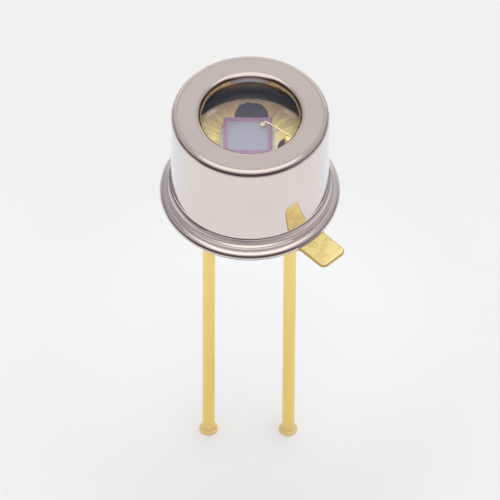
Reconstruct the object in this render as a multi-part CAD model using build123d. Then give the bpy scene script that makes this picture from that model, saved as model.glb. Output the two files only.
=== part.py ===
from build123d import *
import os

# Photodiode in a metal can: a gold-plated header with two leads and an index tab, and a drawn
# nickel-plated can with a flat glass window. Lengths are in millimetres.
# The origin is the centre of the seating plane, the underside of the header's flange. +Z is the
# optical axis, toward the window. The leads run down -Z, in a row along X. -Y is the front.

# Can
CAN_DIAMETER = 4.92
CAN_HEIGHT = 3.80  # seating plane to the top
CAN_WALL = 0.24
CAN_TOP_THICKNESS = 0.28
CAN_TOP_ROUND = 0.22
APERTURE_DIAMETER = 3.09
APERTURE_ROUND = 0.12
LEDGE_WIDTH = 0.155  # flat step round the foot of the wall
LEDGE_HEIGHT = 0.29  # above the rim
LEDGE_ROUND = 0.03
LEDGE_FILLET = 0.04
RIM_WIDTH = 0.205  # beyond the ledge
RIM_THICKNESS = 0.18
RIM_ROUND = 0.16
RIM_UNDERSIDE_BREAK = 0.015
CAN_MOUTH_BREAK = 0.06
WALL_SHARE = 0.98  # the most of a narrow wall that its rounds may take

# Header
HEADER_FLANGE_THICKNESS = 0.12
HEADER_FLANGE_INSET = 0.06  # how far its edge stands inside the can's rim
PLATFORM_HEIGHT = 2.00  # seating plane to the floor
PLATFORM_CLEARANCE = 0.22  # to the can's inner wall
PLATFORM_THICKNESS = 0.28
PLATFORM_ROUND = 0.19
HEADER_WALL = 0.20
HEADER_MOUTH_ROUND = 0.10
TAB_WIDTH = 1.01
TAB_LENGTH = 1.07  # beyond the header's flange
TAB_ANGLE = -46.0  # degrees from +X
TAB_CORNER = 0.20
TAB_ROOT_FILLET = 0.20
SHEET_EDGE_BREAK = 0.03

# Leads
LEAD_DIAMETER = 0.40
LEAD_PITCH = 2.54
LEAD_LENGTH = 11.70  # below the seating plane
LEAD_FOOT_DIAMETER = 0.58
LEAD_FOOT_THICKNESS = 0.10
LEAD_FOOT_BREAK = 0.03
POST_HEIGHT = 0.50  # above the floor
POST_BREAK = 0.03

# Header glass
LEAD_SEAL_DIAMETER = 0.90
BLANK_SEAL_DIAMETER = 1.04
SEAL_RECESS = 0.02  # below the floor
GLASS_RECESS = 0.13  # above the seating plane, at the wall
GLASS_DISH = 0.10  # how much higher its middle is

# Window
WINDOW_THICKNESS = 0.50
WINDOW_SEAL_WIDTH = 0.22  # between the window's edge and the can's wall
WINDOW_SEAL_DROP = 0.34  # depth of the seal along the can's wall
WINDOW_SEAL_EDGE = 0.22  # depth of the seal along the window's edge

# Chip
DIE_ATTACH_MARGIN = 0.10
DIE_ATTACH_THICKNESS = 0.03
DIE_ATTACH_CORNER = 0.24
CHIP_SIDE = 1.51
CHIP_THICKNESS = 0.35
CHIP_OFFSET_X = -0.07
CHIP_OFFSET_Y = 0.13
ACTIVE_WIDTH = 1.24
ACTIVE_DEPTH = 1.13
ACTIVE_CORNER = 0.05
ACTIVE_RECESS = 0.01

# Bond wire
WIRE_DIAMETER = 0.05
BALL_DIAMETER = 0.15
BALL_HEIGHT = 0.07
BALL_INSET_X = 0.16  # from the active area's right edge
BALL_INSET_Y = 0.13  # from the active area's rear edge
LOOP_HEIGHT = 0.24  # above the chip
LOOP_DIP = 0.04
LOOP_DIP_SHARE = 0.78  # of the way from the ball to the post
BEND_OVER_BALL = 0.075
BEND_AT_DIP = 0.10
STITCH_DIAMETER = 0.12
STITCH_THICKNESS = 0.02

# Radii that follow from the sizes above
can_radius = CAN_DIAMETER / 2
can_inner_radius = can_radius - CAN_WALL
aperture_radius = APERTURE_DIAMETER / 2
ledge_radius = can_radius + LEDGE_WIDTH
rim_radius = ledge_radius + RIM_WIDTH
header_flange_radius = rim_radius - HEADER_FLANGE_INSET
platform_radius = can_inner_radius - PLATFORM_CLEARANCE
cavity_radius = platform_radius - HEADER_WALL
lead_radius = LEAD_DIAMETER / 2
pin_circle_radius = LEAD_PITCH / 2
window_radius = can_inner_radius - WINDOW_SEAL_WIDTH

# Heights that follow from the sizes above
rim_bottom = HEADER_FLANGE_THICKNESS
rim_top = rim_bottom + RIM_THICKNESS
ledge_top = rim_top + LEDGE_HEIGHT
can_ceiling = CAN_HEIGHT - CAN_TOP_THICKNESS
platform_underside = PLATFORM_HEIGHT - PLATFORM_THICKNESS
seal_top = PLATFORM_HEIGHT - SEAL_RECESS
chip_bottom = PLATFORM_HEIGHT + DIE_ATTACH_THICKNESS
chip_top = chip_bottom + CHIP_THICKNESS
active_top = chip_top - ACTIVE_RECESS
post_top = PLATFORM_HEIGHT + POST_HEIGHT
lead_end = -LEAD_LENGTH

# Places that follow from the sizes above
anode_place = (pin_circle_radius, 0)
cathode_place = (-pin_circle_radius, 0)
blank_place = (0, pin_circle_radius)
ball_x = CHIP_OFFSET_X + ACTIVE_WIDTH / 2 - BALL_INSET_X
ball_y = CHIP_OFFSET_Y + ACTIVE_DEPTH / 2 - BALL_INSET_Y


def turned(outline, rounds=(), breaks=()):
    """Solid of revolution about Z of an outline of (radius, height) points.

    Each entry of rounds is a corner of the outline and the radius that it gets, and each entry
    of breaks is a corner and the chamfer that it gets.
    """
    section = make_face(Polyline(*outline, close=True))
    for corner, size in rounds:
        vertex = section.vertices().sort_by_distance((*corner, 0))[0]
        section = fillet(vertex, size)
    for corner, size in breaks:
        vertex = section.vertices().sort_by_distance((*corner, 0))[0]
        section = chamfer(vertex, size)
    return revolve(Plane.XZ * section, Axis.Z)


def column(radius, bottom, top, place):
    """Upright cylinder between two heights."""
    return extrude(Pos(*place, bottom) * Circle(radius), top - bottom)


def make_can():
    """Drawn cap: top with its aperture, wall, and a flange of two steps."""
    aperture_edge = (aperture_radius, CAN_HEIGHT)
    top_edge = (can_radius, CAN_HEIGHT)
    wall_foot = (can_radius, ledge_top)
    ledge_edge = (ledge_radius, ledge_top)
    rim_edge = (rim_radius, rim_top)
    rim_underside = (rim_radius, rim_bottom)
    mouth = (can_inner_radius, rim_bottom)
    outline = [
        aperture_edge,
        top_edge,
        wall_foot,
        ledge_edge,
        (ledge_radius, rim_top),
        rim_edge,
        rim_underside,
        mouth,
        (can_inner_radius, can_ceiling),
        (aperture_radius, can_ceiling),
    ]
    rim_side = RIM_THICKNESS - RIM_UNDERSIDE_BREAK
    rounds = [
        (aperture_edge, APERTURE_ROUND),
        (top_edge, CAN_TOP_ROUND),
        (wall_foot, LEDGE_FILLET),
        (ledge_edge, LEDGE_ROUND),
        (rim_edge, min(RIM_ROUND, WALL_SHARE * RIM_WIDTH, WALL_SHARE * rim_side)),
    ]
    breaks = [(rim_underside, RIM_UNDERSIDE_BREAK), (mouth, CAN_MOUTH_BREAK)]
    return turned(outline, rounds, breaks)


def make_window():
    """Flat glass disc against the underside of the can's top."""
    return column(window_radius, can_ceiling - WINDOW_THICKNESS, can_ceiling, (0, 0))


def make_window_seal():
    """Ring of sealing glass that fills the corner between the window's edge and the can's wall."""
    outline = [
        (window_radius, can_ceiling),
        (can_inner_radius, can_ceiling),
        (can_inner_radius, can_ceiling - WINDOW_SEAL_DROP),
        (window_radius, can_ceiling - WINDOW_SEAL_EDGE),
    ]
    return turned(outline)


def flange_outline():
    """Round flange with the index tab, its corners rounded and its root filleted."""
    reach = header_flange_radius + TAB_LENGTH
    tab = Pos(reach / 2, 0) * Rectangle(reach, TAB_WIDTH)
    outline = Circle(header_flange_radius) + tab
    ends = outline.vertices().sort_by(Axis.X)[-2:]
    outline = fillet(ends, TAB_CORNER)
    half_width = TAB_WIDTH / 2
    root_x = (header_flange_radius**2 - half_width**2) ** 0.5
    for side in (-1, 1):
        root = outline.vertices().sort_by_distance((root_x, side * half_width, 0))[0]
        outline = fillet(root, TAB_ROOT_FILLET)
    return Rot(0, 0, TAB_ANGLE) * outline


def make_header():
    """Stamped eyelet: platform and wall drawn up from the flange, with two glass holes and the tab."""
    plate = extrude(flange_outline(), HEADER_FLANGE_THICKNESS)
    top_and_bottom = [plate.faces().sort_by(Axis.Z)[side] for side in (0, -1)]
    sheet_edges = [edge for face in top_and_bottom for edge in face.edges()]
    plate = chamfer(sheet_edges, SHEET_EDGE_BREAK)
    plate -= column(platform_radius, 0, HEADER_FLANGE_THICKNESS, (0, 0))

    platform_edge = (platform_radius, PLATFORM_HEIGHT)
    mouth = (cavity_radius, 0)
    outline = [
        (0, PLATFORM_HEIGHT),
        platform_edge,
        (platform_radius, 0),
        mouth,
        (cavity_radius, platform_underside),
        (0, platform_underside),
    ]
    rounds = [(platform_edge, PLATFORM_ROUND), (mouth, HEADER_MOUTH_ROUND)]
    header = plate + turned(outline, rounds)
    for radius, place in seal_holes():
        header -= column(radius, platform_underside, PLATFORM_HEIGHT, place)
    return header


def seal_holes():
    """Radius and place of each hole through the platform."""
    lead_seal = (LEAD_SEAL_DIAMETER / 2, anode_place)
    blank_seal = (BLANK_SEAL_DIAMETER / 2, blank_place)
    return [lead_seal, blank_seal]


def make_header_glass():
    """Melted glass that fills the eyelet, stands in its two holes and sags to a shallow dish below."""
    rim = (cavity_radius, GLASS_RECESS)
    middle = (0, GLASS_RECESS + GLASS_DISH)
    dish_radius = (cavity_radius**2 + GLASS_DISH**2) / (2 * GLASS_DISH)
    dish = RadiusArc(middle, rim, dish_radius)
    sides = Polyline(rim, (cavity_radius, platform_underside), (0, platform_underside), middle)
    glass = revolve(Plane.XZ * make_face([dish, *sides.edges()]), Axis.Z)
    for radius, place in seal_holes():
        glass += column(radius, platform_underside, seal_top, place)
    glass -= column(lead_radius, 0, seal_top, anode_place)
    glass -= column(lead_radius, 0, platform_underside, cathode_place)
    return glass


def make_lead(top, top_break, place):
    """Plated wire from its upset foot up to the given height."""
    foot_radius = LEAD_FOOT_DIAMETER / 2
    foot_top = lead_end + LEAD_FOOT_THICKNESS
    sole_edge = (foot_radius, lead_end)
    foot_edge = (foot_radius, foot_top)
    top_edge = (lead_radius, top)
    outline = [
        (0, lead_end),
        sole_edge,
        foot_edge,
        (lead_radius, foot_top),
        top_edge,
        (0, top),
    ]
    overhang = foot_radius - lead_radius
    foot_break = min(LEAD_FOOT_BREAK, WALL_SHARE * overhang, WALL_SHARE / 2 * LEAD_FOOT_THICKNESS)
    breaks = [(sole_edge, foot_break), (foot_edge, foot_break)]
    if top_break:
        breaks.append((top_edge, top_break))
    return Pos(*place, 0) * turned(outline, breaks=breaks)


def make_die_attach():
    """Thin pad of silver-filled adhesive under the chip."""
    side = CHIP_SIDE + 2 * DIE_ATTACH_MARGIN
    pad = RectangleRounded(side, side, DIE_ATTACH_CORNER)
    return extrude(Pos(CHIP_OFFSET_X, CHIP_OFFSET_Y, PLATFORM_HEIGHT) * pad, DIE_ATTACH_THICKNESS)


def make_chip():
    """Silicon die whose active area lies a step below its oxide border."""
    centre = (CHIP_OFFSET_X, CHIP_OFFSET_Y)
    die = extrude(Pos(*centre, chip_bottom) * Rectangle(CHIP_SIDE, CHIP_SIDE), CHIP_THICKNESS)
    window = RectangleRounded(ACTIVE_WIDTH, ACTIVE_DEPTH, ACTIVE_CORNER)
    return die - extrude(Pos(*centre, active_top) * window, ACTIVE_RECESS)


def make_bond_wire():
    """Gold wire: a ball on the chip, a loop to the post, and a flattened stitch on it."""
    ball_radius = BALL_DIAMETER / 2
    wire_radius = WIRE_DIAMETER / 2
    ball_top = active_top + BALL_HEIGHT
    ball_middle = active_top + BALL_HEIGHT / 2
    flat_radius = (ball_radius**2 - (BALL_HEIGHT / 2) ** 2) ** 0.5
    foot_edge = (flat_radius, active_top)
    top_edge = (flat_radius, ball_top)
    side = ThreePointArc(foot_edge, (ball_radius, ball_middle), top_edge)
    flats = Polyline(top_edge, (0, ball_top), (0, active_top), foot_edge)
    ball = revolve(Plane.XZ * make_face([side, *flats.edges()]), Axis.Z)
    stitch = column(STITCH_DIAMETER / 2, post_top, post_top + STITCH_THICKNESS, anode_place)
    dip_x = ball_x + LOOP_DIP_SHARE * (pin_circle_radius - ball_x)
    dip_y = (1 - LOOP_DIP_SHARE) * ball_y
    loop_top = chip_top + LOOP_HEIGHT
    wire_end = post_top + wire_radius
    route = [
        (ball_x, ball_y, ball_top - wire_radius),
        (ball_x, ball_y, loop_top),
        (dip_x, dip_y, loop_top - LOOP_DIP),
        (pin_circle_radius, 0, wire_end),
    ]
    path = FilletPolyline(*route, radius=[BEND_OVER_BALL, BEND_AT_DIP])
    profile = Plane(route[0], z_dir=(0, 0, 1)) * Circle(wire_radius)
    wire = sweep(profile, path)
    return Pos(ball_x, ball_y, 0) * ball + wire + stitch


pieces = {
    "can": make_can(),
    "window": make_window(),
    "window_seal": make_window_seal(),
    "header": make_header(),
    "header_glass": make_header_glass(),
    "cathode_lead": make_lead(platform_underside, 0, cathode_place),
    "anode_lead": make_lead(post_top, POST_BREAK, anode_place),
    "die_attach": make_die_attach(),
    "photodiode_chip": make_chip(),
    "bond_wire": make_bond_wire(),
}

os.makedirs("parts", exist_ok=True)
for name, piece in pieces.items():
    export_step(piece, f"parts/{name}.step")
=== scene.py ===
import math
from functools import partialmethod

import bmesh
import bpy
from bpy.props import FloatProperty, FloatVectorProperty, PointerProperty
from mathutils import Matrix, Vector, geometry, noise


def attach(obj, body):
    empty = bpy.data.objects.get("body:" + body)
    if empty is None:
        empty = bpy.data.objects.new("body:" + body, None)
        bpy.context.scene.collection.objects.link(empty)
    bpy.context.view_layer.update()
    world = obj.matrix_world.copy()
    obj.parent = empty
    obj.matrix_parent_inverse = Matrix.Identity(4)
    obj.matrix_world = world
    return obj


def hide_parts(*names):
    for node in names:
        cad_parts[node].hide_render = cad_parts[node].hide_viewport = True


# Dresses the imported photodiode: nickel-plated can with its window, gold-plated header with glass
# seals, two gold leads, the chip with its bond wire, and the stage that they are shown on.
# Settings are in Blender's metres. Shapes and materials are worked out in millimetres.

bl_info = {
    "name": "Windowed Photodiode",
    "version": (1, 0, 0),
    "blender": (4, 5, 0),
    "location": "3D View > Sidebar > Photodiode",
    "description": "Builds a photodiode in a metal can with a flat window",
    "category": "Add Mesh",
}

MM = 0.001
BLANK_SHIFT = (0.04, 0.03)  # millimetres right and back, from the rear of the leads' circle

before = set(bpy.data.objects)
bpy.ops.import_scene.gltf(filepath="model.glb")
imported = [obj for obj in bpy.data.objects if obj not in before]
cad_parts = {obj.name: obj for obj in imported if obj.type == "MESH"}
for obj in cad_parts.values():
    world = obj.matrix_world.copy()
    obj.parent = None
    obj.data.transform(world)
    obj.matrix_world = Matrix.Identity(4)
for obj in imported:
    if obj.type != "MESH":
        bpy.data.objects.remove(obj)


# Settings


def length(name, description, millimetres, lowest=0):
    """A length setting, given in millimetres."""
    return FloatProperty(
        name=name,
        description=description,
        default=millimetres * MM,
        min=lowest * MM,
        precision=5,
        unit="LENGTH",
    )


def degrees(name, description, value):
    """An angle setting, given in degrees."""
    return FloatProperty(
        name=name,
        description=description,
        default=math.radians(value),
        subtype="ANGLE",
        unit="ROTATION",
    )


def colour(name, description, red, green, blue):
    """A colour setting."""
    return FloatVectorProperty(
        name=name,
        description=description,
        default=(red, green, blue),
        min=0,
        max=1,
        size=3,
        subtype="COLOR",
    )


def share(name, description, value):
    """A setting between 0 and 1."""
    return FloatProperty(
        name=name, description=description, default=value, min=0, max=1, subtype="FACTOR"
    )


class CanSettings(bpy.types.PropertyGroup):
    """Sizes and plating of the can."""

    diameter: length("Diameter", "Outside diameter of the wall", 4.92)
    height: length("Height", "Seating plane to the top", 3.80)
    wall: length("Wall", "Thickness of the wall", 0.24)
    top: length("Top", "Thickness of the top", 0.28)
    top_round: length("Top Round", "Rounding of the top's outer edge", 0.22)
    aperture: length("Aperture", "Diameter of the opening for light", 3.09)
    roll_width: length("Roll Width", "Width of the rolled edge of the aperture", 0.185)
    roll_depth: length("Roll Depth", "Depth of the rolled edge of the aperture", 0.155)
    ledge_width: length("Ledge Width", "Flat step round the foot of the wall", 0.15)
    ledge_height: length("Ledge Height", "Height of the step above the rim", 0.38)
    rim_width: length("Rim Width", "Width of the rim beyond the step", 0.208)
    rim_thickness: length("Rim Thickness", "Thickness of the rim", 0.18)
    nickel: colour("Nickel", "Colour of the plating", 0.774, 0.711, 0.671)
    stain: colour("Stain", "Colour of the plating's faint stains", 0.66, 0.56, 0.60)
    roughness: share("Roughness", "Roughness of the plating", 0.07)


class WindowSettings(bpy.types.PropertyGroup):
    """Sizes and glass of the window and its seal."""

    thickness: length("Thickness", "Thickness of the window", 0.50)
    seal_width: length("Seal Width", "Seal between the window and the can's wall", 0.22)
    seal_drop: length("Seal Drop", "Depth of the seal along the can's wall", 0.34)
    seal_edge: length("Seal Edge", "Depth of the seal along the window", 0.22)
    clear: colour("Clear Glass", "Colour of the window", 0.985, 0.99, 1.0)
    seal: colour("Seal Glass", "Colour of the sealing glass", 0.06, 0.055, 0.06)


class HeaderSettings(bpy.types.PropertyGroup):
    """Sizes and plating of the header, and its glass."""

    flange: length("Flange", "Thickness of the flange and the tab", 0.12)
    flange_inset: length("Flange Inset", "How far the flange stands inside the can's rim", 0.06)
    platform: length("Platform Height", "Seating plane to the floor", 2.00)
    clearance: length("Clearance", "Platform to the can's inner wall", 0.17)
    sheet: length("Sheet", "Thickness of the platform", 0.28)
    platform_round: length("Platform Round", "Rounding of the platform's edge", 0.16)
    wall: length("Wall", "Thickness of the drawn wall", 0.20)
    mouth_round: length("Mouth Round", "Rounding of the opening below", 0.10)
    tab_width: length("Tab Width", "Width of the index tab", 1.01)
    tab_length: length("Tab Length", "Tab beyond the flange", 1.07)
    tab_corner: length("Tab Corner", "Rounding of the tab's corners", 0.20)
    tab_root: length("Tab Root", "Fillet where the tab leaves the flange", 0.20)
    tab_angle: degrees("Tab Angle", "Direction of the tab", -46)
    edge_round: length("Edge Round", "Rounding of the sheet's edges", 0.05)
    blank_seal: length("Blank Seal", "Diameter of the glass disc behind the chip", 1.04)
    lead_seal: length("Lead Seal", "Diameter of the glass round the anode lead", 0.84)
    seal_recess: length("Seal Recess", "Depth of the glass below the floor", 0.02)
    glass_recess: length("Glass Recess", "Height of the glass above the seating plane", 0.13)
    glass_dish: length("Glass Dish", "Extra height in the middle of the glass", 0.10)
    gold: colour("Gold", "Colour of the plating", 1.0, 0.83, 0.35)
    tarnish: colour("Tarnish", "Colour of the plating's blotches", 0.72, 0.50, 0.17)
    roughness: share("Roughness", "Roughness of the plating", 0.45)
    glass: colour("Glass", "Colour of the header's glass", 0.030, 0.028, 0.050)


class LeadSettings(bpy.types.PropertyGroup):
    """Sizes and plating of the leads."""

    diameter: length("Diameter", "Diameter of the leads", 0.40)
    pitch: length("Pitch", "Distance between the leads", 2.54)
    reach: length("Length", "Length below the seating plane", 11.70)
    foot_diameter: length("Foot Diameter", "Diameter of the upset foot", 0.58)
    foot_thickness: length("Foot Thickness", "Thickness of the upset foot", 0.10)
    post: length("Post", "Height of the anode post above the floor", 0.50)
    gold: colour("Gold", "Colour of the plating", 1.0, 0.80, 0.28)
    tarnish: colour("Tarnish", "Colour of the plating's blotches", 0.84, 0.58, 0.17)
    cut_end: colour("Cut End", "Colour of the wire at its cut end", 0.90, 0.67, 0.30)
    roughness: share("Roughness", "Roughness of the plating", 0.30)


class ChipSettings(bpy.types.PropertyGroup):
    """Sizes and colours of the chip and of the adhesive under it."""

    side: length("Side", "Side of the chip", 1.51)
    thickness: length("Thickness", "Thickness of the chip", 0.35)
    offset_x: length("Offset X", "Place of the chip to the right", -0.07, lowest=-1)
    offset_y: length("Offset Y", "Place of the chip to the rear", 0.13)
    active_width: length("Active Width", "Width of the active area", 1.24)
    active_depth: length("Active Depth", "Depth of the active area", 1.13)
    active_corner: length("Active Corner", "Rounding of the active area's corners", 0.05)
    active_recess: length("Active Recess", "Step down to the active area", 0.01)
    margin: length("Adhesive Margin", "Adhesive round the chip", 0.10)
    adhesive_thickness: length("Adhesive Thickness", "Thickness of the adhesive", 0.03)
    oxide: colour("Oxide", "Colour of the border", 0.262, 0.136, 0.272)
    active: colour("Active Area", "Colour of the active area", 0.29, 0.285, 0.352)
    silver: colour("Adhesive", "Colour of the adhesive", 0.96, 0.94, 0.86)


class WireSettings(bpy.types.PropertyGroup):
    """Sizes and colour of the bond wire."""

    diameter: length("Diameter", "Diameter of the wire", 0.044)
    ball: length("Ball", "Diameter of the ball on the chip", 0.15)
    ball_height: length("Ball Height", "Height of the ball", 0.07)
    inset_x: length("Ball Inset X", "Ball to the active area's right edge", 0.16)
    inset_y: length("Ball Inset Y", "Ball to the active area's rear edge", 0.13)
    loop: length("Loop", "Height of the loop above the chip", 0.24)
    stitch: length("Stitch", "Width of the flattened end on the post", 0.12)
    gold: colour("Gold", "Colour of the wire", 0.93, 0.80, 0.52)


class StageSettings(bpy.types.PropertyGroup):
    """Camera, light and floor."""

    distance: length("Distance", "Camera to the object", 350.0)
    elevation: degrees("Elevation", "Height of the camera above the horizon", 49.7)
    roll: degrees("Roll", "Lean of the camera", 0.35)
    lens: FloatProperty(
        name="Lens", description="Focal length", default=812.7, min=1, unit="CAMERA"
    )
    floor: colour("Floor", "Colour of the floor", 0.864, 0.868, 0.874)
    lamp_power: FloatProperty(
        name="Lamp Power",
        description="Power of the soft lamp",
        default=9.2,
        min=0,
        subtype="POWER",
        unit="POWER",
    )


SETTINGS = {
    "diode_can": CanSettings,
    "diode_window": WindowSettings,
    "diode_header": HeaderSettings,
    "diode_leads": LeadSettings,
    "diode_chip": ChipSettings,
    "diode_wire": WireSettings,
    "diode_stage": StageSettings,
}


class Plan:
    """Every setting, lengths in millimetres, with the radii, heights and places that follow."""

    def __init__(self, scene):
        for group_name in SETTINGS:
            group = getattr(scene, group_name)
            prefix = group_name.removeprefix("diode_")
            for key in group.__annotations__:
                value = getattr(group, key)
                if group.bl_rna.properties[key].unit == "LENGTH":
                    value = value / MM
                setattr(self, f"{prefix}_{key}", value)
        self.can_radius = self.can_diameter / 2
        self.can_inner = self.can_radius - self.can_wall
        self.can_ceiling = self.can_height - self.can_top
        self.ledge_radius = self.can_radius + self.can_ledge_width
        self.rim_radius = self.ledge_radius + self.can_rim_width
        self.rim_top = self.header_flange + self.can_rim_thickness
        self.ledge_top = self.rim_top + self.can_ledge_height
        self.window_radius = self.can_inner - self.window_seal_width
        self.flange_radius = self.rim_radius - self.header_flange_inset
        self.tab_half = self.header_tab_width / 2
        self.tab_end = self.flange_radius + self.header_tab_length
        root_y = self.tab_half + self.header_tab_root
        root_x = math.sqrt((self.flange_radius + self.header_tab_root) ** 2 - root_y**2)
        self.root_centre = Vector((root_x, root_y))
        self.platform_radius = self.can_inner - self.header_clearance
        self.cavity_radius = self.platform_radius - self.header_wall
        self.platform_underside = self.header_platform - self.header_sheet
        self.seal_top = self.header_platform - self.header_seal_recess
        self.lead_radius = self.leads_diameter / 2
        half_pitch = self.leads_pitch / 2
        self.anode = (half_pitch, 0.0)
        self.cathode = (-half_pitch, 0.0)
        self.blank = (BLANK_SHIFT[0], half_pitch + BLANK_SHIFT[1])
        self.post_top = self.header_platform + self.leads_post
        self.chip_bottom = self.header_platform + self.chip_adhesive_thickness
        self.chip_top = self.chip_bottom + self.chip_thickness
        self.active_top = self.chip_top - self.chip_active_recess
        self.ball = (
            self.chip_offset_x + self.chip_active_width / 2 - self.wire_inset_x,
            self.chip_offset_y + self.chip_active_depth / 2 - self.wire_inset_y,
        )


# Shapes

ARC_STEPS = 8
QUARTER_TURN = [math.pi / 2 * step / ARC_STEPS for step in range(ARC_STEPS + 1)]
GUARD = 0.006  # millimetres, from the end of a straight stretch to its guard point
SHORTEST_GUARDED = 5 * GUARD
ROUND_STEPS = 256
SMALL_ROUND_STEPS = 64
LEAD_STEPS = 48
WIRE_ROUND_STEPS = 32
ON_AXIS = 1e-9  # millimetres, a smaller radius is a point on the axis
FILL_TOLERANCE = 1e-7
SHARP_ANGLE = math.radians(38)


def even_angles(count):
    """Angles of a full turn in equal steps."""
    return [math.tau * step / count for step in range(count)]


def circle(radius, angles, centre=(0.0, 0.0)):
    """Flat points round a centre."""
    x, y = centre
    return [(x + radius * math.cos(angle), y + radius * math.sin(angle)) for angle in angles]


def rounded(corners, closed=False):
    """Outline of (radius, height) points with its square corners rounded.

    A corner is (radius, height), or has one rounding, or two where it reaches further along one
    side than the other. A guard point near each end of a straight stretch keeps its shading flat.
    """
    points = []
    count = len(corners)
    for index, (radius, height, *sizes) in enumerate(corners):
        here = Vector((radius, height))
        if not sizes:
            points.append(here)
            continue
        back = (Vector(corners[index - 1][:2]) - here).normalized() * sizes[0]
        ahead = (Vector(corners[(index + 1) % count][:2]) - here).normalized() * sizes[-1]
        points.extend(
            here + back * (1 - math.sin(turn)) + ahead * (1 - math.cos(turn))
            for turn in QUARTER_TURN
        )
    outline = []
    for here, ahead in zip(points, points[1:] + points[:1]):
        outline.append(here)
        stretch = ahead - here
        if stretch.length < SHORTEST_GUARDED or (ahead == points[0] and not closed):
            continue
        step = stretch.normalized() * GUARD
        for guard, end in ((here + step, here), (ahead - step, ahead)):
            if end.x > 0:
                outline.append(guard)
    return outline


class Shape:
    """Gathers the vertices and faces of one piece."""

    def __init__(self):
        self.points = []
        self.faces = []
        self.looks = []

    def loop(self, points):
        """Adds a closed loop of points and returns their numbers."""
        start = len(self.points)
        self.points.extend(Vector(point) for point in points)
        return list(range(start, len(self.points)))

    def face(self, numbers, look=0):
        """Adds one face with the number of its material."""
        self.faces.append(tuple(numbers))
        self.looks.append(look)

    def bridge(self, first, second, look=0):
        """Joins two loops, either of which may be a single point."""
        count = max(len(first), len(second))
        first, second = (loop * count if len(loop) == 1 else loop for loop in (first, second))
        for here in range(count):
            ahead = (here + 1) % count
            corners = (first[here], first[ahead], second[ahead], second[here])
            self.face(dict.fromkeys(corners), look)

    def turn(self, outline, angles=ROUND_STEPS, place=(0.0, 0.0), closed=False):
        """Turns an outline of (radius, height) points about an upright axis. Returns its loops.

        The angles are given, or how many there are.
        """
        angles = even_angles(angles) if isinstance(angles, int) else angles
        loops = []
        for radius, height in outline:
            ring = [place] if radius < ON_AXIS else circle(radius, angles, place)
            loops.append(self.loop((*point, height) for point in ring))
        self.join(loops + loops[:1] if closed else loops)
        return loops

    def join(self, loops):
        """Bridges each loop to the next."""
        for first, second in zip(loops, loops[1:]):
            self.bridge(first, second)

    def stack(self, rings, looks):
        """Joins rings of points one above the other, and closes the lowest and the highest."""
        loops = [self.loop(ring) for ring in rings]
        self.fill(loops[0], look=looks[0])
        for first, second, look in zip(loops, loops[1:], looks[1:]):
            self.bridge(first, second, look)
        self.fill(loops[-1], look=looks[-1])

    def fill(self, outer, holes=(), height=None, spacing=0, look=0):
        """Fills a loop, apart from the holes in it, with triangles.

        Where height is given, points this far apart are added inside, at the height it gives.
        """
        numbers = list(outer)
        edges = []
        for ring in (outer, *holes):
            first = len(edges)
            edges.extend((first + n, first + (n + 1) % len(ring)) for n in range(len(ring)))
        for ring in holes:
            numbers.extend(ring)
        flat = [self.points[n].xy for n in numbers]
        rings = [[self.points[n].xy for n in ring] for ring in holes]
        if height:
            border = flat[: len(outer)]
            fixed = flat[:]
            for point in grid(border, spacing):
                if not inside(point, border) or any(inside(point, ring) for ring in rings):
                    continue
                if min((point - other).length for other in fixed) < spacing / 2:
                    continue
                numbers.extend(self.loop([(*point, height(*point))]))
                flat.append(point)
        found = geometry.delaunay_2d_cdt(flat, edges, [], 1, FILL_TOLERANCE)
        triangles, origins = found[2], found[3]
        for triangle in triangles:
            old = [numbers[origins[n][0]] for n in triangle]
            middle = sum((self.points[n].xy for n in old), Vector((0.0, 0.0))) / 3
            if not any(inside(middle, ring) for ring in rings):
                self.face(old, look)

    def place(self, name, slot, node, *materials):
        """Makes a piece that rides on the part in place of its CAD node."""
        piece = self.build(name, materials)
        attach(piece, "root")
        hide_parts(node)

    def build(self, name, materials):
        """Makes an object, smooth apart from its sharp edges."""
        mesh = bpy.data.meshes.new(name)
        mesh.from_pydata([point * MM for point in self.points], [], self.faces)
        for material in materials:
            mesh.materials.append(material)
        mesh.polygons.foreach_set("material_index", self.looks)
        working = bmesh.new()
        working.from_mesh(mesh)
        bmesh.ops.recalc_face_normals(working, faces=working.faces)
        working.to_mesh(mesh)
        working.free()
        mesh.shade_smooth()
        mesh.set_sharp_from_angle(angle=SHARP_ANGLE)
        piece = bpy.data.objects.new(name, mesh)
        bpy.context.scene.collection.objects.link(piece)
        return piece


def grid(border, spacing):
    """Staggered rows of flat points that cover a border."""
    low = [min(point[axis] for point in border) for axis in (0, 1)]
    high = [max(point[axis] for point in border) for axis in (0, 1)]
    columns, rows = (int((high[axis] - low[axis]) / spacing) + 1 for axis in (0, 1))
    return [
        Vector((low[0] + (column + row % 2 / 2) * spacing, low[1] + row * spacing))
        for row in range(rows)
        for column in range(columns)
    ]


def inside(point, ring):
    """True if a flat point lies inside a closed ring of points."""
    odd = False
    for here, ahead in zip(ring, ring[1:] + ring[:1]):
        if (here.y > point.y) != (ahead.y > point.y):
            cross = here.x + (point.y - here.y) * (ahead.x - here.x) / (ahead.y - here.y)
            odd = odd != (point.x < cross)
    return odd


# Materials

GLASS_IOR = 1.5
FLAT = (1.0, 1.0, 0.0)  # takes the height out of a place


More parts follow.
